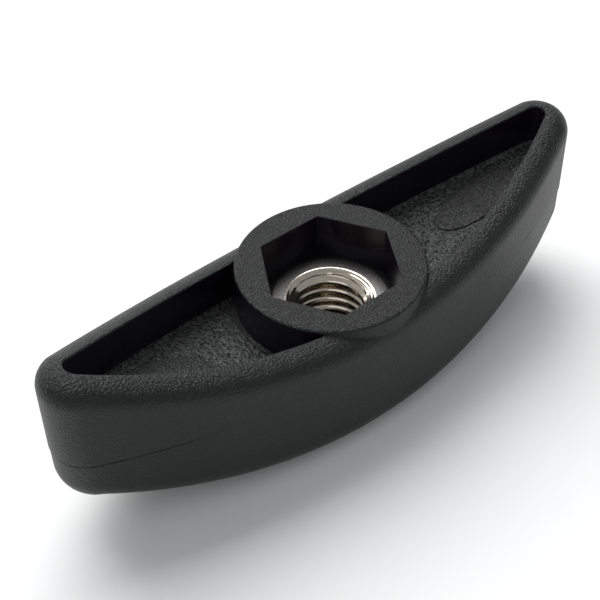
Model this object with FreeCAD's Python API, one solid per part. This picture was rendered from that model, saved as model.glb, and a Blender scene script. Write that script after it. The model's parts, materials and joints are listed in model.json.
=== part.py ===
import FreeCAD, Part
import math
import os

# Wing nut: a moulded plastic wing handle with a steel hexagon nut in its boss.
# Millimetres. Z is the thread axis and points out of the open mouth of the boss.
# X runs along the wing. The origin is on the axis, at the closed bearing face.

Vec = FreeCAD.Vector
UP = Vec(0, 0, 1)

# Wing outline seen from above, at the mould's parting plane
HALF_LENGTH = 40.3
HALF_WIDTH = 12.4
TIP_RADIUS = 4.85

# Heights above the bearing face, on the middle of the wing
PARTING_HEIGHT = 13.65
BOSS_HEIGHT = 19.0
RIM_HEIGHT = 18.0
FLOOR_HEIGHT = 12.3
CROWN_HEIGHT = -0.18

# How far each bowed surface climbs from the middle of the wing to its tip
RIM_RISE = 9.1
FLOOR_RISE = 8.9
CROWN_RISE = 7.6

# Wall, draft and edge rounding of the moulding
WALL = 3.4
UPPER_DRAFT = 1.1
LOWER_DRAFT = 1.6
POCKET_DRAFT = 0.5
RIM_OUTER_ROUND = 2.8
RIM_INNER_ROUND = 0.25
CLOSED_FACE_ROUND = 4.4
POCKET_FLOOR_ROUND = 0.6

# Boss, hexagon recess and screw hole
BOSS_RADIUS = 12.0
BOSS_EDGE_ROUND = 0.4
FOOT_RING_RADIUS = 12.6
FOOT_RING_STEP = 0.2
ACROSS_FLATS = 16.0
RECESS_DEPTH = 5.8
SCREW_HOLE_RADIUS = 5.5
SCREW_HOLE_CHAMFER = 0.6

# Steel nut, M10 with coarse pitch and the basic 60 degree thread form
NUT_HEIGHT = 8.4
NUT_FACE_RADIUS = 7.4
CHAMFER_ANGLE = 30.0
FLANK_ANGLE = 30.0
THREAD_RADIUS = 5.0
THREAD_PITCH = 1.5
THREAD_DEPTH = 5 / 8 * THREAD_PITCH * math.cos(math.radians(FLANK_ANGLE))
THREAD_ROOT_FLAT = THREAD_PITCH / 8
THREAD_START_HEIGHT = 2.5
COUNTERSINK_RADIUS = 5.6
THREAD_SECTORS = 6

# Space left beyond a cut so that it passes clean through a face
MARGIN = 2.0

# Distance within which a point counts as lying on a surface
TOLERANCE = 0.01


def rise_at(angle_deg, run):
    """Height gained over a run at an angle."""
    return run * math.tan(math.radians(angle_deg))


def side_radius():
    """Radius of the two long sides, tangent to both round tips."""
    tip_centre = HALF_LENGTH - TIP_RADIUS
    span = HALF_WIDTH ** 2 + tip_centre ** 2 - TIP_RADIUS ** 2
    return span / (2 * (HALF_WIDTH - TIP_RADIUS))


def outline(inset, z):
    """Closed lens-shaped wire, moved inwards from the parting outline by inset."""
    tip_centre = Vec(HALF_LENGTH - TIP_RADIUS, 0, z)
    side_centre = Vec(0, HALF_WIDTH - side_radius(), z)
    outward = (tip_centre - side_centre).normalize()
    meet = tip_centre + outward * (TIP_RADIUS - inset)
    width = HALF_WIDTH - inset
    length = HALF_LENGTH - inset
    corners = [
        Vec(meet.x, meet.y, z),
        Vec(-meet.x, meet.y, z),
        Vec(-meet.x, -meet.y, z),
        Vec(meet.x, -meet.y, z),
    ]
    middles = [Vec(0, width, z), Vec(-length, 0, z), Vec(0, -width, z), Vec(length, 0, z)]
    edges = []
    for i, middle in enumerate(middles):
        arc = Part.Arc(corners[i], middle, corners[(i + 1) % 4])
        edges.append(arc.toShape())
    return Part.Wire(edges)


def drafted_block(low_inset, low_z, high_inset, high_z):
    """Solid between two outlines, with straight sloping sides."""
    wires = [outline(low_inset, low_z), outline(high_inset, high_z)]
    return Part.makeLoft(wires, True, True)


def bow_radius(rise):
    """Radius of a bowed surface that climbs by rise at the wing tip."""
    return (HALF_LENGTH ** 2 + rise ** 2) / (2 * rise)


def bow_height(x, middle, rise):
    """Height of a bowed surface above a point of the X axis."""
    radius = bow_radius(rise)
    return middle + radius - math.sqrt(radius ** 2 - x ** 2)


def space_above(middle, rise):
    """Everything above a bowed surface, as a prism along Y."""
    x = HALF_LENGTH + MARGIN
    y = HALF_WIDTH + MARGIN
    top = RIM_HEIGHT + RIM_RISE + 2 * MARGIN
    end_z = bow_height(x, middle, rise)
    left = Vec(-x, -y, end_z)
    right = Vec(x, -y, end_z)
    edges = [
        Part.Arc(left, Vec(0, -y, middle), right).toShape(),
        Part.makeLine(right, Vec(x, -y, top)),
        Part.makeLine(Vec(x, -y, top), Vec(-x, -y, top)),
        Part.makeLine(Vec(-x, -y, top), left),
    ]
    face = Part.Face(Part.Wire(edges))
    return face.extrude(Vec(0, 2 * y, 0))


def edges_on_bow(shape, middle, rise):
    """Edges that lie wholly on a bowed surface."""
    found = []
    for edge in shape.Edges:
        first, last = edge.ParameterRange
        points = [edge.valueAt(first + (last - first) * k / 4) for k in range(5)]
        if all(abs(p.z - bow_height(p.x, middle, rise)) < TOLERANCE for p in points):
            found.append(edge)
    return found


def hexagon_prism(across_flats, low_z, high_z):
    """Hexagon prism with two corners on the X axis."""
    corner = across_flats / math.sqrt(3)
    points = []
    for i in range(7):
        angle = math.radians(60 * i)
        points.append(Vec(corner * math.cos(angle), corner * math.sin(angle), low_z))
    face = Part.Face(Part.makePolygon(points))
    return face.extrude(Vec(0, 0, high_z - low_z))


def outer_form():
    """The moulding before its pockets, boss and holes are made."""
    top_z = RIM_HEIGHT + RIM_RISE + MARGIN
    low_inset = rise_at(LOWER_DRAFT, PARTING_HEIGHT + MARGIN)
    top_inset = rise_at(UPPER_DRAFT, top_z - PARTING_HEIGHT)
    lower = drafted_block(low_inset, -MARGIN, 0, PARTING_HEIGHT)
    upper = drafted_block(0, PARTING_HEIGHT, top_inset, top_z)
    form = lower.fuse(upper)
    form = form.common(space_above(CROWN_HEIGHT, CROWN_RISE))
    form = form.cut(space_above(RIM_HEIGHT, RIM_RISE))
    form = form.makeFillet(RIM_OUTER_ROUND, edges_on_bow(form, RIM_HEIGHT, RIM_RISE))
    form = form.makeFillet(CLOSED_FACE_ROUND, edges_on_bow(form, CROWN_HEIGHT, CROWN_RISE))
    ground = Part.makeBox(
        4 * HALF_LENGTH, 4 * HALF_WIDTH, MARGIN, Vec(-2 * HALF_LENGTH, -2 * HALF_WIDTH, -MARGIN)
    )
    return form.cut(ground)


def pocket_space():
    """The hollow inside the rim, before the boss divides it into two pockets."""
    top_z = RIM_HEIGHT + RIM_RISE + MARGIN
    low_z = FLOOR_HEIGHT - MARGIN
    rim_inset = WALL + rise_at(UPPER_DRAFT, RIM_HEIGHT - PARTING_HEIGHT)
    low_inset = rim_inset + rise_at(POCKET_DRAFT, RIM_HEIGHT - low_z)
    top_inset = rim_inset - rise_at(POCKET_DRAFT, top_z - RIM_HEIGHT)
    space = drafted_block(low_inset, low_z, top_inset, top_z)
    space = space.common(space_above(FLOOR_HEIGHT, FLOOR_RISE))
    return space.makeFillet(POCKET_FLOOR_ROUND, edges_on_bow(space, FLOOR_HEIGHT, FLOOR_RISE))


def boss():
    """Round boss with a rounded mouth edge and a low ring round its foot."""
    base = Vec(0, 0, FLOOR_HEIGHT - MARGIN)
    height = BOSS_HEIGHT - base.z
    column = Part.makeCylinder(BOSS_RADIUS, height, base, UP)
    mouth = [e for e in column.Edges if e.Closed and e.CenterOfMass.z > BOSS_HEIGHT - TOLERANCE]
    column = column.makeFillet(BOSS_EDGE_ROUND, mouth)
    ring = Part.makeCylinder(FOOT_RING_RADIUS, height, base, UP)
    ring = ring.cut(space_above(FLOOR_HEIGHT + FOOT_RING_STEP, FLOOR_RISE))
    ring = ring.common(drafted_block(MARGIN, base.z, MARGIN, BOSS_HEIGHT))
    return column.fuse(ring)


def screw_hole(seat_z):
    """Clearance hole through the closed face, with a chamfered mouth."""
    hole = Part.makeCylinder(SCREW_HOLE_RADIUS, seat_z + 2 * MARGIN, Vec(0, 0, -MARGIN), UP)
    mouth_radius = SCREW_HOLE_RADIUS + SCREW_HOLE_CHAMFER
    mouth = Part.makeCone(mouth_radius, 0, mouth_radius, Vec(0, 0, 0), UP)
    return hole.fuse(mouth)


def handle():
    """The moulded wing handle."""
    body = outer_form()
    outer_edges = edges_on_bow(body, RIM_HEIGHT, RIM_RISE)
    body = body.cut(pocket_space())
    known = [edge.Length for edge in outer_edges]
    rim_edges = edges_on_bow(body, RIM_HEIGHT, RIM_RISE)
    mouth = [e for e in rim_edges if all(abs(e.Length - size) > TOLERANCE for size in known)]
    body = body.makeFillet(RIM_INNER_ROUND, mouth)
    body = body.fuse(boss())
    seat_z = BOSS_HEIGHT - RECESS_DEPTH - NUT_HEIGHT
    body = body.cut(hexagon_prism(ACROSS_FLATS, seat_z, BOSS_HEIGHT + MARGIN))
    return body.cut(screw_hole(seat_z))


def chamfered_hexagon(low_z, high_z):
    """Hexagon bar with its corners chamfered at both ends."""
    reach = ACROSS_FLATS / math.sqrt(3) + MARGIN
    drop = rise_at(CHAMFER_ANGLE, reach - NUT_FACE_RADIUS)
    points = [
        Vec(0, 0, low_z),
        Vec(NUT_FACE_RADIUS, 0, low_z),
        Vec(reach, 0, low_z + drop),
        Vec(reach, 0, high_z - drop),
        Vec(NUT_FACE_RADIUS, 0, high_z),
        Vec(0, 0, high_z),
        Vec(0, 0, low_z),
    ]
    envelope = Part.Face(Part.makePolygon(points)).revolve(Vec(0, 0, 0), UP, 360)
    return hexagon_prism(ACROSS_FLATS, low_z, high_z).common(envelope)


def thread_groove(low_z, high_z):
    """Right-hand helical groove of the internal thread."""
    inner = THREAD_RADIUS - 1.25 * THREAD_DEPTH
    root_half = THREAD_ROOT_FLAT / 2
    mouth_half = root_half + rise_at(FLANK_ANGLE, THREAD_RADIUS - inner)
    profile = Part.makePolygon([
        Vec(inner, 0, low_z - mouth_half),
        Vec(THREAD_RADIUS, 0, low_z - root_half),
        Vec(THREAD_RADIUS, 0, low_z + root_half),
        Vec(inner, 0, low_z + mouth_half),
        Vec(inner, 0, low_z - mouth_half),
    ])
    helix = Part.makeHelix(THREAD_PITCH, high_z - low_z, THREAD_RADIUS)
    helix.translate(Vec(0, 0, low_z))
    return Part.Wire(helix).makePipeShell([profile], True, True)


def in_sectors(shape, radius, count):
    """Pieces of a shape inside a radius, cut apart by planes through the Z axis."""
    angle = 360 / count
    pieces = []
    for i in range(count):
        wedge = Part.makeCylinder(radius, BOSS_HEIGHT, Vec(0, 0, 0), UP, angle)
        wedge.rotate(Vec(0, 0, 0), UP, angle * i)
        pieces.append(shape.common(wedge))
    return pieces


def hex_nut():
    """Steel hexagon nut, countersunk at both ends, with a true helical thread."""
    high_z = BOSS_HEIGHT - RECESS_DEPTH
    low_z = high_z - NUT_HEIGHT
    bore = Part.makeCylinder(THREAD_RADIUS - THREAD_DEPTH, BOSS_HEIGHT, Vec(0, 0, 0), UP)
    sink_depth = rise_at(CHAMFER_ANGLE, COUNTERSINK_RADIUS)
    nut = chamfered_hexagon(low_z, high_z)
    nut = nut.cut(thread_groove(THREAD_START_HEIGHT, high_z + MARGIN))
    nut = nut.cut(bore)
    nut = nut.cut(Part.makeCone(COUNTERSINK_RADIUS, 0, sink_depth, Vec(0, 0, low_z), UP))
    nut = nut.cut(Part.makeCone(COUNTERSINK_RADIUS, 0, sink_depth, Vec(0, 0, high_z), -UP))
    core = Part.makeCylinder(COUNTERSINK_RADIUS, BOSS_HEIGHT, Vec(0, 0, 0), UP)
    return nut.cut(core).fuse(in_sectors(nut, COUNTERSINK_RADIUS, THREAD_SECTORS))


def export(node, shape):
    """Write one piece as a single solid."""
    solids = shape.Solids
    if len(solids) != 1 or not solids[0].isValid():
        raise ValueError(node + " is not one valid solid")
    solids[0].exportStep("parts/" + node + ".step")
    print(node, round(solids[0].Volume), solids[0].optimalBoundingBox())


os.makedirs("parts", exist_ok=True)
export("handle", handle())
export("hex_nut", hex_nut())
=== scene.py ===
import json
import math

import bmesh
import bpy
import numpy as np
from mathutils import Matrix, Vector


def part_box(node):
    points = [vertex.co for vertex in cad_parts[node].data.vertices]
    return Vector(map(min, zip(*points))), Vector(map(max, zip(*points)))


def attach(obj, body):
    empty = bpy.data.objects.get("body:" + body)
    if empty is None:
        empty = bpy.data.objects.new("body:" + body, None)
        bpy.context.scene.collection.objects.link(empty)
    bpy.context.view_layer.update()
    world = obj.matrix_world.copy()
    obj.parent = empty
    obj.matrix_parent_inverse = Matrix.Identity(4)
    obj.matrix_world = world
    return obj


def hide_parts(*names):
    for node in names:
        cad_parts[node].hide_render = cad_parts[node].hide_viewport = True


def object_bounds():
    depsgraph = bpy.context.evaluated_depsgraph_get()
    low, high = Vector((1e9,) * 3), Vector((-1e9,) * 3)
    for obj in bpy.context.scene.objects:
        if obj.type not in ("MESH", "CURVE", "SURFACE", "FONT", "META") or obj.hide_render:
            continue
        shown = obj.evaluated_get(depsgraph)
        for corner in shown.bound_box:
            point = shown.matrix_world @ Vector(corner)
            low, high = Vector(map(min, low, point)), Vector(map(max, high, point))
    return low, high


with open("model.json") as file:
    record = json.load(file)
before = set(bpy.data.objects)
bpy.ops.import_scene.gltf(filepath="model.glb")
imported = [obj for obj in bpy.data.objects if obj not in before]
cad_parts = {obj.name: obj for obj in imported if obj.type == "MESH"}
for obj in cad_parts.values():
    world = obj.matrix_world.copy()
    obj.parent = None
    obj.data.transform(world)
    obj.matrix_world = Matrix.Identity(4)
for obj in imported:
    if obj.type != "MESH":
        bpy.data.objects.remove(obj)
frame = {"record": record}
cad_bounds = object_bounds()

# Everything is in metres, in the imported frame: Z is the thread axis, X runs along the wing.
MM = 0.001


def mount(name):
    """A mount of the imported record."""
    return next(m for m in frame["record"]["mounts"] if m["name"] == name)


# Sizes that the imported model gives
HALF_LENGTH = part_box("handle")[1].x
HALF_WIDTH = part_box("handle")[1].y
BOSS_HEIGHT = mount("boss_face")["pos_m"][2]
SCREW_HOLE_RADIUS = mount("screw_hole")["dims"]["r_mm"] * MM
THREAD_CREST_RADIUS = mount("thread")["dims"]["r_mm"] * MM
HALF_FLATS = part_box("hex_nut")[1].y
NUT_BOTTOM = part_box("hex_nut")[0].z
NUT_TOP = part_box("hex_nut")[1].z

# Bowed surfaces: height on the middle of the wing, and rise from there to the tip.
# The closed face dips below 0 and is cut off there, which leaves its small flat.
RIM = (18.0 * MM, 9.05 * MM)
POCKET_FLOOR = (12.3 * MM, 8.9 * MM)
CLOSED_FACE = (-0.18 * MM, 7.6 * MM)

# Outline, wall and edges of the moulding, with drafts in degrees
TIP_RADIUS = 4.85 * MM
PARTING_HEIGHT = 13.65 * MM
WALL = 3.4 * MM
UPPER_DRAFT = 1.1
LOWER_DRAFT = 1.6
POCKET_DRAFT = 0.5
RIM_OUTER_ROUND = 2.8 * MM
RIM_INNER_ROUND = 0.3 * MM
CLOSED_FACE_ROUND = 4.4 * MM
POCKET_FLOOR_ROUND = 0.6 * MM

# The fine groove that the two mould halves leave, deeper towards the tips
PARTING_HALF_WIDTH = 0.14 * MM
PARTING_DEPTH = 0.3 * MM
PARTING_STEP = 0.09 * MM
PARTING_FADE_START = 22.0 * MM
PARTING_FADE_END = 33.0 * MM
PARTING_LEAST = 0.1

# Boss with its foot ring, hexagon recess and screw hole
BOSS_RADIUS = 12.0 * MM
BOSS_EDGE_ROUND = 0.4 * MM
BOSS_FOOT_ROUND = 0.35 * MM
BOSS_BURIED = 10.0 * MM
FOOT_RING_RADIUS = 12.6 * MM
FOOT_RING_STEP = 0.2 * MM
FOOT_RING_ROUND = 0.08 * MM
FOOT_RING_BURIED = 1.0 * MM
FOOT_RING_SPAN = 52.0  # degrees to each side of the X axis
FAIRING_SHARE = 0.93  # how much of the turn from the boss into the rim the fairing makes
RECESS_MOUTH_ROUND = 0.15 * MM
RECESS_CORNER_ROUND = 0.25 * MM
SCREW_HOLE_CHAMFER = 0.6 * MM
CUT_MARGIN = 1.0 * MM

# Plain raised oval on each pocket floor
PAD_CENTRE = 25.4 * MM
PAD_HALF_LENGTH = 6.4 * MM
PAD_HALF_WIDTH = 3.1 * MM
PAD_HEIGHT = 0.2 * MM
PAD_EDGE_ROUND = 0.08 * MM
PAD_BURIED = 0.4 * MM
PAD_TOP_SHARES = (0.3, 0.55, 0.8)

# Finish that the mould gave each face: the grain gets coarser as the number rises, and the
# coarser faces also get lighter colours that paint in the sheen of the lamps
POLISHED = 0.0
WALL_GRAIN = 1.0
RIM_GRAIN = 1.7
BOSS_GRAIN = 2.0
PAD_GRAIN = 2.2
FLOOR_GRAIN = 3.0

# How a face's finish is told: limits on its upward part, on its part away from the Z axis,
# and on its distance from the surface that it belongs to
RIM_GRAIN_START = 0.5
RIM_GRAIN_FULL = 0.95
LEVEL = 0.9
PARTLY_LEVEL = 0.25
OUTWARD = 0.97
INWARD = -0.5
CLOSE = 0.02 * MM
NEARBY = 0.1 * MM
RING_MARGIN = 0.01 * MM
PAD_SHARE = 0.3

# Steel nut, with angles in degrees apart from the start of the thread
THREAD_PITCH = 1.5 * MM
FLANK_ANGLE = 30.0
THREAD_DEPTH = 5 / 8 * THREAD_PITCH * math.cos(math.radians(FLANK_ANGLE))
THREAD_ROUND = 0.02 * MM
THREAD_START = math.pi
COUNTERSINK_RADIUS = 5.6 * MM
COUNTERSINK_SLOPE = 30.0
LIP_RADIUS = 5.78 * MM
LIP_DROP = 0.05 * MM
LIP_EASE_RUN = 0.06 * MM
LIP_EASE_DROP = 0.01 * MM
NUT_FACE_RADIUS = 7.4 * MM
NUT_FACE_SHARES = (0.5, 0.97)
NUT_FACE_EASE_RUN = 0.04 * MM
NUT_FACE_EASE_DROP = 0.02 * MM
NUT_CHAMFER = 30.0
NUT_CORNER_ROUND = 0.4 * MM

# How finely the shapes are divided
SIDE_STEPS = 160
TIP_STEPS = 48
ACROSS_STEPS = 24
LARGE_ROUND_STEPS = 16
SMALL_ROUND_STEPS = 6
LOWER_WALL_STEPS = 6
UPPER_WALL_STEPS = 8
POCKET_WALL_STEPS = 6
RIM_FLAT_STEPS = 2
BOSS_STEPS = 288
BOSS_EDGE_STEPS = 8
BOSS_SLOPE_PROBE = 0.05 * MM
FOOT_RING_ROUND_STEPS = 3
SCREW_HOLE_STEPS = 144
PAD_STEPS = 120
PAD_EDGE_STEPS = 3
NUT_STEPS = 360
PITCH_STEPS = 20
SHARP_ANGLE = 32.0
WELD_DISTANCE = 0.0002 * MM
TINY = 1e-9

# From a corner of a hexagon to the middle of a flat beside it
HEXAGON_HALF_ANGLE = math.radians(30)


# ---------------------------------------------------------------- mesh helpers


class Shell:
    """Vertices and faces of one mesh under construction."""

    def __init__(self):
        self.points = []
        self.faces = []

    def ring(self, x, y, z):
        """Add a closed ring of points and return their numbers."""
        first = len(self.points)
        x, y, z = np.broadcast_arrays(x, y, z)
        self.points.extend(zip(x.tolist(), y.tolist(), z.tolist()))
        return list(range(first, len(self.points)))

    def bridge(self, low, high):
        """Join two rings of the same count with quads."""
        count = len(low)
        for i in range(count):
            j = (i + 1) % count
            self.faces.append((low[i], low[j], high[j], high[i]))

    def stack(self, rings):
        """Join each ring to the next one."""
        for low, high in zip(rings, rings[1:]):
            self.bridge(low, high)

    def close_ends(self, rings):
        """Fill the first and the last ring with one face each."""
        self.faces.append(rings[0][::-1])
        self.faces.append(rings[-1])

    def make(self, name):
        """The finished object, with doubled points welded and faces turned outwards."""
        mesh = bpy.data.meshes.new(name)
        mesh.from_pydata(self.points, [], self.faces)
        form = bmesh.new()
        form.from_mesh(mesh)
        bmesh.ops.remove_doubles(form, verts=form.verts, dist=WELD_DISTANCE)
        bmesh.ops.dissolve_degenerate(form, edges=form.edges, dist=WELD_DISTANCE)
        bmesh.ops.recalc_face_normals(form, faces=form.faces)
        form.to_mesh(mesh)
        form.free()
        piece = bpy.data.objects.new(name, mesh)
        bpy.context.scene.collection.objects.link(piece)
        return piece


def solid(name, sections):
    """Closed object through rings of points, with a face at each end."""
    shell = Shell()
    rings = [shell.ring(*section) for section in sections]
    shell.stack(rings)
    shell.close_ends(rings)
    return shell.make(name)


def turned(name, profile, count):
    """Closed object from (radius, height) pairs, whose values may vary round the axis."""
    angle = circle_angles(count)
    return solid(name, [(r * np.cos(angle), r * np.sin(angle), z) for r, z in profile])


def combine(piece, tool, operation):
    """Apply a boolean with a tool object, which is used up."""
    step = piece.modifiers.new("combine", "BOOLEAN")
    step.object = tool
    step.operation = operation
    step.solver = "EXACT"
    graph = bpy.context.evaluated_depsgraph_get()
    mesh = bpy.data.meshes.new_from_object(piece.evaluated_get(graph))
    piece.modifiers.clear()
    piece.data = mesh
    bpy.data.objects.remove(tool)


def finish_surface(piece):
    """Smooth shading that keeps real edges crisp and flat faces flat."""
    for polygon in piece.data.polygons:
        polygon.use_smooth = True
    piece.data.set_sharp_from_angle(angle=math.radians(SHARP_ANGLE))
    normals = piece.modifiers.new("weighted_normals", "WEIGHTED_NORMAL")
    normals.keep_sharp = True


def circle_angles(count):
    """Evenly spaced angles of a full turn."""
    return np.arange(count) * 2 * math.pi / count


def quarter_round(size, steps):
    """Points of a rounded edge from its side up to its top, as (run inwards, drop)."""
    turns = [math.pi / 2 * k / steps for k in range(steps + 1)]
    return [(size * (1 - math.cos(turn)), size * (1 - math.sin(turn))) for turn in turns]


def rise_at(angle_deg, run):
    """Height gained over a run at an angle."""
    return run * math.tan(math.radians(angle_deg))


def smooth_step(value, start, end):
    """0 before start, 1 after end, with a soft change between."""
    t = np.clip((value - start) / (end - start), 0, 1)
    return t * t * (3 - 2 * t)


# ---------------------------------------------------------------- wing geometry

TIP_CENTRE = HALF_LENGTH - TIP_RADIUS
SIDE_RADIUS = (HALF_WIDTH**2 + TIP_CENTRE**2 - TIP_RADIUS**2) / (2 * (HALF_WIDTH - TIP_RADIUS))
SIDE_CENTRE = SIDE_RADIUS - HALF_WIDTH
SIDE_HALF_ANGLE = math.atan2(TIP_CENTRE, SIDE_CENTRE)
TIP_HALF_ANGLE = math.pi / 2 - SIDE_HALF_ANGLE
RIM_BALL = rise_at(UPPER_DRAFT, RIM[0] - PARTING_HEIGHT) + RIM_OUTER_ROUND


def outline_arcs():
    """Normal angle, arc centre and arc radius of each outline point, from the +X tip."""
    tip = np.linspace(0, TIP_HALF_ANGLE, TIP_STEPS // 2 + 1)
    side = np.linspace(TIP_HALF_ANGLE, math.pi - TIP_HALF_ANGLE, SIDE_STEPS + 1)
    upper = np.concatenate([tip[:-1], side[:-1], math.pi - tip[::-1]])
    normal = np.concatenate([upper, -upper[-2:0:-1]])
    on_side = np.abs(np.sin(normal)) > math.sin(TIP_HALF_ANGLE) - TINY
    centre_x = np.where(on_side, 0, TIP_CENTRE * np.sign(np.cos(normal)))
    centre_y = np.where(on_side, -SIDE_CENTRE * np.sign(np.sin(normal)), 0)
    radius = np.where(on_side, SIDE_RADIUS, TIP_RADIUS)
    return normal, centre_x, centre_y, radius


NORMAL, CENTRE_X, CENTRE_Y, ARC_RADIUS = outline_arcs()


def outline_at(inset):
    """Outline points moved inwards by inset."""
    x = CENTRE_X + (ARC_RADIUS - inset) * np.cos(NORMAL)
    y = CENTRE_Y + (ARC_RADIUS - inset) * np.sin(NORMAL)
    return x, y


def inset_of(x, y):
    """Distance of plan points inwards from the parting outline."""
    x, y = np.abs(x), np.abs(y)
    past_tip_centre = np.arctan2(y, x - TIP_CENTRE) < TIP_HALF_ANGLE
    tip_inset = TIP_RADIUS - np.hypot(x - TIP_CENTRE, y)
    side_inset = SIDE_RADIUS - np.hypot(x, y + SIDE_CENTRE)
    return np.where(past_tip_centre, tip_inset, side_inset)


def bow_radius(surface):
    """Radius of a bowed surface."""
    rise = surface[1]
    return (HALF_LENGTH**2 + rise**2) / (2 * rise)


def bow(surface, x, offset=0.0):
    """Height of a bowed surface at x, or of a surface that lies offset below it."""
    radius = bow_radius(surface)
    return surface[0] + radius - np.sqrt((radius + offset) ** 2 - x**2)


def pocket_inset(z):
    """Inset of the drafted pocket wall at height z."""
    at_rim = WALL + rise_at(UPPER_DRAFT, RIM[0] - PARTING_HEIGHT)
    return at_rim - rise_at(POCKET_DRAFT, z - RIM[0])


def rolling_ball(surface, ball, centre_inset, up):
    """Centre height, stretch and contact offset of a ball rolled along an edge."""
    x, _ = outline_at(centre_inset)
    reach = bow_radius(surface) + up * ball
    slope_along = x / np.sqrt(reach**2 - x**2) * np.sin(NORMAL)
    contact = -up * ball * x * np.cos(NORMAL) / reach
    return bow(surface, x, up * ball), np.sqrt(1 + slope_along**2), contact


def rolled_edge(surface, ball, centre_inset, up, steps, last_inset=None):
    """Rings of the round between a side wall and a bowed surface, as (inset, height)."""
    centre_z, stretch, contact = rolling_ball(surface, ball, centre_inset, up)
    if last_inset is not None:
        contact = np.maximum(contact, centre_inset - last_inset)
    last_angle = np.arccos(contact / ball)
    rings = []
    for k in range(steps + 1):
        angle = last_angle * k / steps
        inset = centre_inset - ball * np.cos(angle)
        rings.append((inset, centre_z + up * ball * np.sin(angle) * stretch))
    return rings


def rim_top(x, y):
    """Height of the rim and its outer round over a plan point near the middle of a side."""
    inset = inset_of(x, y)
    ball_z = bow(RIM, x, RIM_OUTER_ROUND)
    out = np.clip(RIM_BALL - inset, 0, RIM_OUTER_ROUND)
    rounded = ball_z + np.sqrt(RIM_OUTER_ROUND**2 - out**2)
    return np.where(inset < RIM_BALL, rounded, bow(RIM, x))


def between(first, last, steps):
    """Rings strictly between two rings, evenly spaced."""
    rings = []
    for k in range(1, steps):
        t = k / steps
        rings.append(tuple(a + (b - a) * t for a, b in zip(first, last)))
    return rings


def rounded_corner(before, corner, after, steps):
    """Rings that round the corner between two rings."""
    rings = []
    for k in range(steps + 1):
        t = k / steps
        weights = ((1 - t) ** 2, 2 * t * (1 - t), t * t)
        rings.append(tuple(
            sum(w * ring[axis] for w, ring in zip(weights, (before, corner, after)))
            for axis in range(2)
        ))
    return rings


def parting_rings():
    """The fine groove and step where the mould halves meet."""
    x, _ = outline_at(0)
    depth = smooth_step(np.abs(x), PARTING_FADE_START, PARTING_FADE_END)
    groove = PARTING_LEAST + (1 - PARTING_LEAST) * depth
    below = rise_at(LOWER_DRAFT, PARTING_HALF_WIDTH) + PARTING_STEP * groove
    return [
        (below, PARTING_HEIGHT - PARTING_HALF_WIDTH + 0 * x),
        (PARTING_DEPTH * groove, PARTING_HEIGHT + 0 * x),
        (0 * x, PARTING_HEIGHT + PARTING_HALF_WIDTH + 0 * x),
    ]


def lower_rings():
    """From the closed face round its edge, to the foot of the lower wall."""
    draft = rise_at(LOWER_DRAFT, 1)
    ball_z = bow(CLOSED_FACE, HALF_LENGTH - CLOSED_FACE_ROUND, -CLOSED_FACE_ROUND)
    wall_inset = draft * (PARTING_HEIGHT - ball_z)
    centre = wall_inset + CLOSED_FACE_ROUND
    edge = rolled_edge(CLOSED_FACE, CLOSED_FACE_ROUND, centre, -1, LARGE_ROUND_STEPS)
    return edge[::-1]


def wing_rings():
    """Every ring of the wing as (inset, height), from the closed face to the pocket floor."""
    lower = lower_rings()
    parting = parting_rings()
    lower += between(lower[-1], parting[0], LOWER_WALL_STEPS)

    mouth = pocket_inset(bow(RIM, outline_at(WALL)[0]))
    cut = mouth - RIM_INNER_ROUND
    outer = rolled_edge(RIM, RIM_OUTER_ROUND, RIM_BALL, 1, LARGE_ROUND_STEPS, last_inset=cut)
    upper = between(parting[-1], outer[0], UPPER_WALL_STEPS)
    ball_z, stretch, contact = rolling_ball(RIM, RIM_OUTER_ROUND, RIM_BALL, 1)

    def rim_height(inset):
        out = np.clip((RIM_BALL - inset) / RIM_OUTER_ROUND, -1, 1)
        rounded = ball_z + RIM_OUTER_ROUND * np.sqrt(1 - out**2) * stretch
        return np.where(inset < RIM_BALL - contact, rounded, bow(RIM, outline_at(inset)[0]))

    before = (cut, rim_height(cut))
    flat = between(outer[-1], before, RIM_FLAT_STEPS)
    corner = (mouth, rim_height(mouth))
    after = (mouth, corner[1] - RIM_INNER_ROUND)
    inner = rounded_corner(before, corner, after, SMALL_ROUND_STEPS)

    floor_wall = pocket_inset(bow(POCKET_FLOOR, outline_at(mouth)[0]))
    fillet_centre = floor_wall + POCKET_FLOOR_ROUND
    fillet = rolled_edge(
        POCKET_FLOOR, POCKET_FLOOR_ROUND, fillet_centre, -1, SMALL_ROUND_STEPS
    )
    wall = between(inner[-1], fillet[0], POCKET_WALL_STEPS)
    return lower + parting + upper + outer + flat + inner + wall + fillet


def cap_across(shell, ring, x, y, surface):
    """Fill a ring with straight rows across the wing that follow a bowed surface."""
    count = len(ring)
    half = count // 2
    rows = [[ring[0]]]
    for i in range(1, half):
        share = np.arange(1, ACROSS_STEPS) / ACROSS_STEPS
        row_y = y[i] + (y[count - i] - y[i]) * share
        row_z = max(float(bow(surface, x[i])), 0.0)
        middle = shell.ring(np.full(share.shape, x[i]), row_y, row_z)
        rows.append([ring[i]] + middle + [ring[count - i]])
    rows.append([ring[half]])
    for row, following in zip(rows, rows[1:]):
        for k in range(ACROSS_STEPS):
            corners = tuple(dict.fromkeys((
                row[min(k, len(row) - 1)],
                row[min(k + 1, len(row) - 1)],
                following[min(k + 1, len(following) - 1)],
                following[min(k, len(following) - 1)],
            )))
            if len(corners) > 2:
                shell.faces.append(corners)


def wing():
    """The wing with its rim and one long pocket, before the boss and the holes."""
    shell = Shell()
    rings = []
    sections = wing_rings()
    for inset, z in sections:
        x, y = outline_at(inset)
        rings.append(shell.ring(x, y, np.maximum(z, 0)))
    shell.stack(rings)
    for number, surface in ((0, CLOSED_FACE), (-1, POCKET_FLOOR)):
        x, y = outline_at(sections[number][0])
        cap_across(shell, rings[number], x, y, surface)
    return shell.make("handle_moulding")


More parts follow.
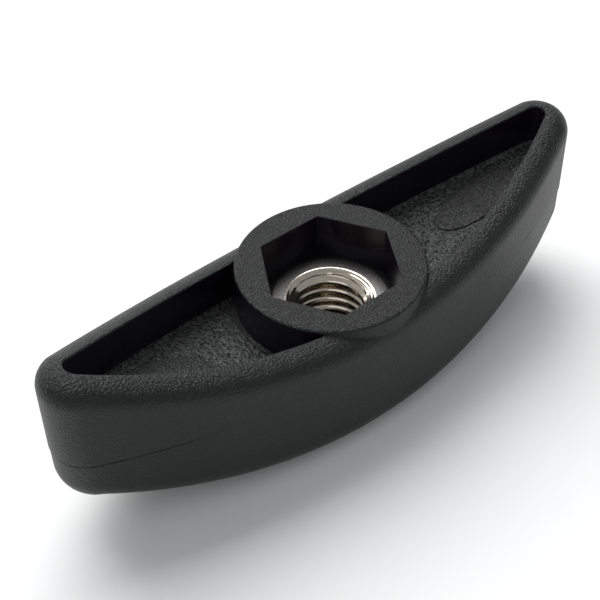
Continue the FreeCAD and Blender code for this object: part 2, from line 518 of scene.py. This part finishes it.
# ---------------------------------------------------------------- boss and holes


def boss():
    """Round boss, faired into the rim on the sides where it stands on it."""
    angle = circle_angles(BOSS_STEPS)
    cos, sin = np.cos(angle), np.sin(angle)
    on_rim = inset_of(BOSS_RADIUS * cos, BOSS_RADIUS * sin) < pocket_inset(RIM[0])

    def under(radius):
        return rim_top(radius * cos, radius * sin)

    edge_z = BOSS_HEIGHT - BOSS_EDGE_ROUND
    foot_round = np.where(on_rim, np.clip(edge_z - under(BOSS_RADIUS), 0, BOSS_FOOT_ROUND), 0)
    fall = under(BOSS_RADIUS) - under(BOSS_RADIUS + BOSS_SLOPE_PROBE)
    slope = np.arctan(fall / BOSS_SLOPE_PROBE)
    ball_z = under(BOSS_RADIUS + foot_round * (1 - np.sin(slope))) + foot_round * np.cos(slope)
    ball_z = np.minimum(ball_z, edge_z)

    profile = []
    for k in range(SMALL_ROUND_STEPS + 1):
        turn = (math.pi / 2 - slope) * FAIRING_SHARE * (1 - k / SMALL_ROUND_STEPS)
        radius = BOSS_RADIUS + foot_round * (1 - np.cos(turn))
        profile.append((radius, ball_z - foot_round * np.sin(turn)))
    profile.insert(0, (profile[0][0], BOSS_BURIED))
    for run, drop in quarter_round(BOSS_EDGE_ROUND, BOSS_EDGE_STEPS):
        profile.append((BOSS_RADIUS - run, BOSS_HEIGHT - drop))
    return turned("boss_tool", profile, BOSS_STEPS)


def foot_ring_tool():
    """Low step round the foot of the boss in both pockets, buried in the walls elsewhere."""
    angle = circle_angles(BOSS_STEPS)
    cos, sin = np.cos(angle), np.sin(angle)
    core = BOSS_RADIUS - FOOT_RING_BURIED
    in_pockets = np.abs(sin) < math.sin(math.radians(FOOT_RING_SPAN))
    outer = np.where(in_pockets, FOOT_RING_RADIUS, core)
    top = bow(POCKET_FLOOR, outer * cos) + FOOT_RING_STEP
    profile = [(outer, BOSS_BURIED)]
    for run, drop in quarter_round(FOOT_RING_ROUND, FOOT_RING_ROUND_STEPS):
        profile.append((outer - run, top - drop))
    profile.append((core - FOOT_RING_ROUND, top))
    profile.append((core - 2 * FOOT_RING_ROUND, PARTING_HEIGHT + CUT_MARGIN))
    return turned("foot_ring_tool", profile, BOSS_STEPS)


def hexagon_points(half_flats, corner_round, steps):
    """Hexagon with two corners on the X axis and rounded corners."""
    x, y = [], []
    centre = (half_flats - corner_round) / math.cos(HEXAGON_HALF_ANGLE)
    for side in range(6):
        middle = math.radians(60 * side)
        for k in range(steps + 1):
            turn = middle + math.radians(60 * (k / steps - 0.5))
            x.append(centre * math.cos(middle) + corner_round * math.cos(turn))
            y.append(centre * math.sin(middle) + corner_round * math.sin(turn))
    return np.array(x), np.array(y)


def recess_tool():
    """Space of the hexagon recess, opening out at its mouth."""
    mouth = quarter_round(RECESS_MOUTH_ROUND, SMALL_ROUND_STEPS)[:-1]
    growth = [(0, NUT_BOTTOM)]
    growth += [(run, BOSS_HEIGHT - drop) for run, drop in mouth]
    growth.append((RECESS_MOUTH_ROUND, BOSS_HEIGHT + CUT_MARGIN))
    sections = []
    for grow, z in growth:
        corner_round = RECESS_CORNER_ROUND + grow
        x, y = hexagon_points(HALF_FLATS + grow, corner_round, SMALL_ROUND_STEPS)
        sections.append((x, y, z))
    return solid("recess_tool", sections)


def screw_hole_tool():
    """Space of the clearance hole, with its chamfered mouth in the closed face."""
    mouth = SCREW_HOLE_RADIUS + SCREW_HOLE_CHAMFER
    return turned("screw_hole_tool", [
        (mouth + CUT_MARGIN, -CUT_MARGIN),
        (SCREW_HOLE_RADIUS, SCREW_HOLE_CHAMFER),
        (SCREW_HOLE_RADIUS, NUT_BOTTOM + CUT_MARGIN / 2),
    ], SCREW_HOLE_STEPS)


def pad_tool():
    """Plain raised ovals that follow the pocket floors."""
    angle = circle_angles(PAD_STEPS)
    profile = [(0, -PAD_BURIED)]
    for run, drop in quarter_round(PAD_EDGE_ROUND, PAD_EDGE_STEPS):
        profile.append((run, PAD_HEIGHT - drop))
    profile += [(PAD_HALF_WIDTH * share, PAD_HEIGHT) for share in PAD_TOP_SHARES]
    shell = Shell()
    for side in (-1, 1):
        rings = []
        for shrink, lift in profile:
            x = side * PAD_CENTRE + (PAD_HALF_LENGTH - shrink) * np.cos(angle)
            y = (PAD_HALF_WIDTH - shrink) * np.sin(angle)
            rings.append(shell.ring(x, y, bow(POCKET_FLOOR, x) + lift))
        shell.stack(rings)
        for ring in (rings[0], rings[-1]):
            for i in range(PAD_STEPS // 2):
                corners = (ring[i], ring[i + 1], ring[-i - 1], ring[-i % PAD_STEPS])
                shell.faces.append(tuple(dict.fromkeys(corners)))
    return shell.make("pad_tool")


def handle():
    """The whole moulding: wing, boss and ovals, less the recess and the screw hole."""
    piece = wing()
    stem = boss()
    combine(stem, foot_ring_tool(), "UNION")
    combine(piece, stem, "UNION")
    combine(piece, pad_tool(), "UNION")
    combine(piece, recess_tool(), "DIFFERENCE")
    combine(piece, screw_hole_tool(), "DIFFERENCE")
    return piece


def per_face(piece, value):
    """A vector of every face, as its three columns."""
    numbers = np.zeros(len(piece.data.polygons) * 3)
    piece.data.polygons.foreach_get(value, numbers)
    return numbers.reshape(-1, 3).T


def mark_faces(piece, name, values):
    """Store one number on every face, for the material to read."""
    layer = piece.data.attributes.new(name, "FLOAT", "FACE")
    layer.data.foreach_set("value", values)


def mark_grain(piece):
    """Say on each face how the mould finished it, from polished to coarse grain."""
    x, y, z = per_face(piece, "center")
    nx, ny, nz = per_face(piece, "normal")
    radius = np.hypot(x, y)
    inset = inset_of(x, y)
    floor = bow(POCKET_FLOOR, x)
    outward = (nx * x + ny * y) / np.maximum(radius, TINY)
    off_boss = radius > BOSS_RADIUS

    rim_share = smooth_step(nz, RIM_GRAIN_START, RIM_GRAIN_FULL)
    grain = WALL_GRAIN + (RIM_GRAIN - WALL_GRAIN) * rim_share
    in_pocket = (inset > pocket_inset(z) - CLOSE) & (z > floor - NEARBY) & off_boss
    low = z < floor + POCKET_FLOOR_ROUND
    grain[in_pocket & (nz < LEVEL)] = POLISHED
    grain[in_pocket & low & (nz > PARTLY_LEVEL)] = FLOOR_GRAIN
    grain[in_pocket & (nz > LEVEL) & (z > floor + PAD_SHARE * PAD_HEIGHT)] = PAD_GRAIN
    grain[in_pocket & (radius < FOOT_RING_RADIUS + RING_MARGIN)] = RIM_GRAIN
    boss_top = (radius < BOSS_RADIUS) & (z > BOSS_HEIGHT - BOSS_EDGE_ROUND)
    grain[boss_top & (nz > LEVEL)] = BOSS_GRAIN
    boss_side = (np.abs(radius - BOSS_RADIUS) < CLOSE) & (outward > OUTWARD) & (z > floor)
    grain[boss_side & (inset > pocket_inset(RIM[0]))] = POLISHED
    recess_reach = HALF_FLATS / math.cos(HEXAGON_HALF_ANGLE) + NEARBY
    grain[(radius < recess_reach) & (outward < INWARD)] = POLISHED
    mark_faces(piece, "grain", grain)


# ---------------------------------------------------------------- steel nut


def soft_positive(value):
    """The value where it is above 0, and 0 where it is below, rounded off between."""
    return 0.5 * (value + np.sqrt(value**2 + THREAD_ROUND**2))


def thread_radius(phase):
    """Radius of the internal thread, a share of the pitch away from the middle of a crest."""
    from_crest = np.abs((phase + 0.5) % 1 - 0.5) * THREAD_PITCH
    crest_half = THREAD_PITCH / 8
    depth = (from_crest - crest_half) / math.tan(math.radians(FLANK_ANGLE))
    flank = THREAD_CREST_RADIUS + soft_positive(depth)
    root = THREAD_CREST_RADIUS + THREAD_DEPTH
    return root - soft_positive(root - flank)


def hexagon_radius(angle, half_flats, corner_round):
    """Distance from the axis to a hexagon with rounded corners, at each angle."""
    half = HEXAGON_HALF_ANGLE
    from_corner = (angle + half) % (2 * half) - half
    flat = half_flats - corner_round
    centre = flat / math.cos(half)
    flat_start = half - math.atan(flat * math.tan(half) / half_flats)
    inside = np.maximum(corner_round**2 - (centre * np.sin(from_corner)) ** 2, 0)
    on_corner = centre * np.cos(from_corner) + np.sqrt(inside)
    on_flat = half_flats / np.cos(half - np.abs(from_corner))
    return np.where(np.abs(from_corner) < flat_start, on_corner, on_flat)


def hex_nut():
    """Hexagon nut with chamfered corners, countersunk mouths and a real helical thread."""
    angle = circle_angles(NUT_STEPS)
    cos, sin = np.cos(angle), np.sin(angle)
    corner = hexagon_radius(angle, HALF_FLATS, NUT_CORNER_ROUND)
    drop = (corner - NUT_FACE_RADIUS) * math.tan(math.radians(NUT_CHAMFER))
    shell = Shell()
    rings = []

    def add(radius, z):
        rings.append(shell.ring(radius * cos, radius * sin, z + 0 * angle))

    face_width = NUT_FACE_RADIUS - LIP_RADIUS
    profile = [
        (COUNTERSINK_RADIUS, LIP_DROP),
        (LIP_RADIUS - LIP_EASE_RUN, LIP_EASE_DROP),
        (LIP_RADIUS, 0),
    ]
    profile += [(LIP_RADIUS + face_width * share, 0) for share in NUT_FACE_SHARES]
    for radius, depth in profile:
        add(radius, NUT_TOP - depth)
    add(NUT_FACE_RADIUS + NUT_FACE_EASE_RUN, NUT_TOP - NUT_FACE_EASE_DROP)
    add(corner, NUT_TOP - drop)
    add(corner, NUT_BOTTOM + drop)
    add(NUT_FACE_RADIUS + NUT_FACE_EASE_RUN, NUT_BOTTOM + NUT_FACE_EASE_DROP)
    for radius, depth in profile[::-1]:
        add(radius, NUT_BOTTOM + depth)
    shell.stack(rings)

    top = NUT_TOP - LIP_DROP
    bottom = NUT_BOTTOM + LIP_DROP
    cone = math.tan(math.radians(COUNTERSINK_SLOPE))
    step = THREAD_PITCH / PITCH_STEPS
    level = np.arange(-PITCH_STEPS, math.ceil((top - bottom) / step) + 1) * step
    columns = []
    for i in range(NUT_STEPS + 1):
        turn = 2 * math.pi * i / NUT_STEPS
        z = np.clip(bottom + level + THREAD_PITCH * i / NUT_STEPS, bottom, top)
        radius = thread_radius(level / THREAD_PITCH)
        radius = np.maximum(radius, COUNTERSINK_RADIUS - (top - z) / cone)
        radius = np.maximum(radius, COUNTERSINK_RADIUS - (z - bottom) / cone)
        turn += THREAD_START
        columns.append(shell.ring(radius * math.cos(turn), radius * math.sin(turn), z))
    for column, following in zip(columns, columns[1:]):
        for k in range(len(column) - 1):
            shell.faces.append((column[k], column[k + 1], following[k + 1], following[k]))
    return shell.make("steel_hex_nut")


def mark_machined(piece):
    """Say on each face whether a tool cut it bright: 1 for the lip, the cone and the thread."""
    x, y, _ = per_face(piece, "center")
    mark_faces(piece, "machined", (np.hypot(x, y) < LIP_RADIUS).astype(float))


# ---------------------------------------------------------------- materials

# Noises of the plastic, as size of the features, detail and roughness
SAND = (0.25 * MM, 1.5, 0.5)
CREASES = (0.3 * MM, 2.0, 0.6)
FLOW = (9 * MM, 2.0, 0.5)
LEATHER_CELL = 0.45 * MM

# Parts of their range that the colours are spread over
SAND_RANGE = (0.32, 0.68)
FLOW_RANGE = (0.3, 0.75)
LEATHER_RANGE = (0.6, 1.15)

# How deep the grain is cut
WALL_SAND_DEPTH = 0.85
BOSS_SAND_DEPTH = 2.2
LEATHER_DEPTH = 1.7
POLISHED_DEPTH = 0.005
PLASTIC_BUMP = 0.16 * MM

# Colours of the plastic in the hollows and on the tops of its grain: painted shade in the
# hollows, painted sheen on the tops, and rim and pocket colours lighter than the walls' that
# paint the lamps' sheen on those upward faces
WALL_SHADE_AND_SHEEN_COLOURS = (0.001, 0.0017, 0.0014, 1), (0.0044, 0.0059, 0.0053, 1)
WALL_CLOUD_COLOUR = (0.0032, 0.0044, 0.004, 1)
RIM_SHADE_AND_SHEEN_COLOURS = (0.002, 0.0021, 0.0023, 1), (0.026, 0.0262, 0.027, 1)
POCKET_SHADE_AND_SHEEN_COLOURS = (0.005, 0.0055, 0.0056, 1), (0.055, 0.0565, 0.056, 1)
POLISHED_COLOUR = (0.0075, 0.0055, 0.0095, 1)

# Gloss of the plastic, with clouds a little rougher and smoother
FINE_ROUGHNESS = 0.42
COARSE_ROUGHNESS = 0.22
POLISHED_ROUGHNESS = 0.18
ROUGHNESS_CLOUDS = 0.14
PLASTIC_IOR = 1.5
PLASTIC_SPECULAR = 0.38

# Steel of the nut: noises as above, and the lines that the countersink was turned with
GRIT = (0.18 * MM, 3.0, 0.65)
STAIN = (2.2 * MM, 3.0, 0.6)
GRIT_RANGE = (0.3, 0.7)
STAIN_RANGE = (0.3, 0.75)
TURNED_PITCH = 0.42 * MM
THREAD_MOUTH = 4.95 * MM
CONE_START = 5.05 * MM

# Pairs give the value on the dull face, then on the bright machined part
TURNED_DEPTHS = 0.1, 0.32
GRIT_DEPTHS = 2.0, 0.04
STEEL_ROUGHNESSES = 0.4, 0.09
STAIN_ROUGHNESS = 0.08
STEEL_BUMP = 0.02 * MM
STEEL_BUMP_STRENGTH = 0.6
DULL_COLOURS = (0.1, 0.096, 0.096, 1), (0.25, 0.242, 0.236, 1)
BRIGHT_COLOURS = (0.71, 0.645, 0.54, 1), (0.55, 0.495, 0.41, 1)


class Nodes:
    """Short way to build a node material."""

    def __init__(self, name):
        self.material = bpy.data.materials.new(name)
        self.material.use_nodes = True
        self.tree = self.material.node_tree
        self.shader = self.tree.nodes["Principled BSDF"]

    def add(self, kind, settings=(), **inputs):
        """Add a node, with its settings and with numbers or links on its inputs."""
        node = self.tree.nodes.new(kind)
        for key, value in dict(settings).items():
            setattr(node, key, value)
        for key, value in inputs.items():
            self.put(node, key.replace("_", " "), value)
        return node

    def put(self, node, key, value):
        """Set an input by name, or by number for math nodes."""
        socket = node.inputs[int(key)] if key.isdigit() else node.inputs[key]
        if isinstance(value, bpy.types.NodeSocket):
            self.tree.links.new(value, socket)
        else:
            socket.default_value = value

    def math(self, operation, a, b=0.0):
        """One sum, product or other operation on numbers."""
        node = self.tree.nodes.new("ShaderNodeMath")
        node.operation = operation
        self.put(node, "0", a)
        self.put(node, "1", b)
        return node.outputs[0]

    def blend(self, share, a, b):
        """a where share is 0 and b where it is 1."""
        node = self.tree.nodes.new("ShaderNodeMix")
        node.data_type = "FLOAT"
        self.put(node, "0", share)
        self.put(node, "2", a)
        self.put(node, "3", b)
        return node.outputs[0]

    def colour_blend(self, share, a, b):
        """Colour a where share is 0 and b where it is 1."""
        node = self.tree.nodes.new("ShaderNodeMix")
        node.data_type = "RGBA"
        self.put(node, "0", share)
        self.put(node, "6", a)
        self.put(node, "7", b)
        return node.outputs[2]

    def spread(self, value, low, high):
        """Stretch a value so that low becomes 0 and high becomes 1."""
        node = self.tree.nodes.new("ShaderNodeMapRange")
        self.put(node, "0", value)
        self.put(node, "1", low)
        self.put(node, "2", high)
        return node.outputs[0]

    def noise(self, point, size, detail, rough):
        """Cloudy noise with features of about the given size."""
        node = self.add("ShaderNodeTexNoise", Scale=1 / size, Detail=detail, Roughness=rough)
        self.put(node, "Vector", point)
        return node.outputs["Fac"]

    def cells(self, point, size):
        """Distance to the middle of rounded cells of about the given size."""
        node = self.add("ShaderNodeTexVoronoi", {"feature": "SMOOTH_F1"}, Scale=1 / size)
        self.put(node, "Vector", point)
        return node.outputs["Distance"]


def plastic():
    """Black moulded plastic: polished, finely grained or leathery, as the faces are marked,
    with painted shade in the hollows of the grain and painted sheen on its tops and on the rim,
    boss top and pocket floors.
    """
    n = Nodes("moulded_black_plastic")
    point = n.add("ShaderNodeTexCoord").outputs["Object"]
    grain = n.add("ShaderNodeAttribute", {"attribute_name": "grain"}).outputs["Fac"]
    moulded = n.spread(grain, POLISHED, WALL_GRAIN)
    rim = n.spread(grain, WALL_GRAIN, BOSS_GRAIN)
    coarse = n.spread(grain, BOSS_GRAIN, FLOOR_GRAIN)

    sand = n.noise(point, *SAND)
    creases = n.noise(point, *CREASES)
    leather = n.math("ADD", creases, n.cells(point, LEATHER_CELL))
    flow = n.noise(point, *FLOW)

    sanded = n.math("MULTIPLY", sand, n.blend(rim, WALL_SAND_DEPTH, BOSS_SAND_DEPTH))
    depth = n.blend(coarse, sanded, n.math("MULTIPLY", leather, LEATHER_DEPTH))
    bump = n.add("ShaderNodeBump", Strength=1.0, Distance=PLASTIC_BUMP)
    shown = n.blend(moulded, POLISHED_DEPTH, 1.0)
    n.put(bump, "Height", n.math("MULTIPLY", depth, shown))
    n.put(n.shader, "Normal", bump.outputs["Normal"])

    # Base colour follows the grain's height: painted shade in its hollows and painted sheen on
    # its tops.
    grain_shade_and_sheen = n.spread(sand, *SAND_RANGE)
    clouds = n.spread(flow, *FLOW_RANGE)
    wall_colour_with_painted_sheen = n.colour_blend(grain_shade_and_sheen, *WALL_SHADE_AND_SHEEN_COLOURS)
    wall_colour_with_painted_sheen = n.colour_blend(clouds, wall_colour_with_painted_sheen, WALL_CLOUD_COLOUR)
    # The rim, boss top and pocket floors get lighter colours than the walls: painted sheen of
    # the lamps on these upward faces.
    rim_colour_with_painted_sheen = n.colour_blend(grain_shade_and_sheen, *RIM_SHADE_AND_SHEEN_COLOURS)
    pocket_colour_with_painted_sheen = n.colour_blend(n.spread(leather, *LEATHER_RANGE), *POCKET_SHADE_AND_SHEEN_COLOURS)
    fine_colour = n.colour_blend(rim, wall_colour_with_painted_sheen, rim_colour_with_painted_sheen)
    colour = n.colour_blend(coarse, fine_colour, pocket_colour_with_painted_sheen)
    n.put(n.shader, "Base Color", n.colour_blend(moulded, POLISHED_COLOUR, colour))

    uneven = n.math("MULTIPLY", n.math("SUBTRACT", flow, 0.5), ROUGHNESS_CLOUDS)
    rough = n.math("ADD", n.blend(coarse, FINE_ROUGHNESS, COARSE_ROUGHNESS), uneven)
    n.put(n.shader, "Roughness", n.blend(moulded, POLISHED_ROUGHNESS, rough))
    n.put(n.shader, "IOR", PLASTIC_IOR)
    n.put(n.shader, "Specular IOR Level", PLASTIC_SPECULAR)
    return n.material


def steel():
    """Nut steel: a dull grainy face, bright with turned lines where a tool cut it."""
    n = Nodes("nut_steel")
    point = n.add("ShaderNodeTexCoord").outputs["Object"]
    machined = n.add("ShaderNodeAttribute", {"attribute_name": "machined"}).outputs["Fac"]
    grit = n.noise(point, *GRIT)
    stain = n.noise(point, *STAIN)
    split = n.add("ShaderNodeSeparateXYZ", Vector=point)
    squares = [n.math("POWER", split.outputs[axis], 2.0) for axis in range(2)]
    radius = n.math("SQRT", n.math("ADD", *squares))
    lines = n.math("SINE", n.math("MULTIPLY", radius, 2 * math.pi / TURNED_PITCH))
    on_cone = n.spread(radius, THREAD_MOUTH, CONE_START)

    cone_lines = n.math("MULTIPLY", lines, on_cone)
    turned_height = n.math("MULTIPLY", cone_lines, n.blend(machined, *TURNED_DEPTHS))
    grit_height = n.math("MULTIPLY", grit, n.blend(machined, *GRIT_DEPTHS))
    bump = n.add("ShaderNodeBump", Strength=STEEL_BUMP_STRENGTH, Distance=STEEL_BUMP)
    n.put(bump, "Height", n.math("ADD", turned_height, grit_height))
    n.put(n.shader, "Normal", bump.outputs["Normal"])

    dull = n.colour_blend(n.spread(grit, *GRIT_RANGE), *DULL_COLOURS)
    bright = n.colour_blend(n.spread(stain, *STAIN_RANGE), *BRIGHT_COLOURS)
    n.put(n.shader, "Base Color", n.colour_blend(machined, dull, bright))
    n.put(n.shader, "Metallic", 1.0)
    stained = n.math("MULTIPLY", stain, STAIN_ROUGHNESS)
    n.put(n.shader, "Roughness", n.math("ADD", n.blend(machined, *STEEL_ROUGHNESSES), stained))
    return n.material


# ---------------------------------------------------------------- stage

# Camera at the photo's viewing angle, in degrees
CAMERA_AIM = (-0.81 * MM, 5.18 * MM, 9.5 * MM)
CAMERA_AZIMUTH = -38.57
CAMERA_ELEVATION = 43.49
CAMERA_DISTANCE = 155.72 * MM
CAMERA_ROLL = -1.17
CAMERA_LENS = 71.53

CAMERA_CLIP_START = 0.01

FLOOR_SIZE = 16.0
FLOOR_COLOUR = (0.93, 0.93, 0.93, 1)
FLOOR_ROUGHNESS = 0.8

WORLD_COLOUR = (0.96, 0.98, 1.0, 1)
WORLD_STRENGTH = 0.36

# Soft lights: azimuth and elevation in degrees, side in metres, power in watts
LIGHT_DISTANCE = 0.9
WINDOW_LIGHT = (164, 54, 0.8, 9.4)
FILL_LIGHT = (-60, 50, 0.7, 0.9)


def around(azimuth, elevation):
    """Unit vector from the object towards a viewer or a light."""
    a, e = math.radians(azimuth), math.radians(elevation)
    return Vector((math.sin(a) * math.cos(e), -math.cos(a) * math.cos(e), math.sin(e)))


def camera():
    """Put the camera where the photo was taken from."""
    data = bpy.data.cameras.new("camera")
    data.lens = CAMERA_LENS
    data.clip_start = CAMERA_CLIP_START
    view = bpy.data.objects.new("camera", data)
    bpy.context.scene.collection.objects.link(view)
    back = around(CAMERA_AZIMUTH, CAMERA_ELEVATION)
    view.location = Vector(CAMERA_AIM) + back * CAMERA_DISTANCE
    upright = (-back).to_track_quat("-Z", "Y").to_matrix()
    roll = Matrix.Rotation(math.radians(CAMERA_ROLL), 3, "Z")
    view.rotation_euler = (upright @ roll).to_euler()
    bpy.context.scene.camera = view


def soft_light(name, azimuth, elevation, size, power):
    """Square area light aimed at the object."""
    data = bpy.data.lights.new(name, "AREA")
    data.size = size
    data.energy = power
    lamp = bpy.data.objects.new(name, data)
    bpy.context.scene.collection.objects.link(lamp)
    direction = around(azimuth, elevation)
    lamp.location = direction * LIGHT_DISTANCE
    lamp.rotation_euler = direction.to_track_quat("Z", "Y").to_euler()


def studio():
    """Pale floor under the object, even sky and two soft lights."""
    half = FLOOR_SIZE / 2
    x = np.array([-half, half, half, -half])
    y = np.array([-half, -half, half, half])
    shell = Shell()
    shell.faces.append(shell.ring(x, y, cad_bounds[0].z))
    floor = shell.make("studio_floor")
    n = Nodes("pale_floor")
    n.put(n.shader, "Base Color", FLOOR_COLOUR)
    n.put(n.shader, "Roughness", FLOOR_ROUGHNESS)
    floor.data.materials.append(n.material)

    world = bpy.data.worlds.new("studio")
    world.use_nodes = True
    sky = world.node_tree.nodes["Background"]
    sky.inputs["Color"].default_value = WORLD_COLOUR
    sky.inputs["Strength"].default_value = WORLD_STRENGTH
    bpy.context.scene.world = world
    bpy.context.scene.view_settings.view_transform = "Standard"
    soft_light("window", *WINDOW_LIGHT)
    soft_light("fill", *FILL_LIGHT)


# ---------------------------------------------------------------- assembly

moulding = handle()
mark_grain(moulding)
finish_surface(moulding)
moulding.data.materials.clear()
moulding.data.materials.append(plastic())
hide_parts("handle")
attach(moulding, "root")

nut = hex_nut()
mark_machined(nut)
finish_surface(nut)
nut.data.materials.append(steel())
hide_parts("hex_nut")
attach(nut, "root")

studio()
camera()
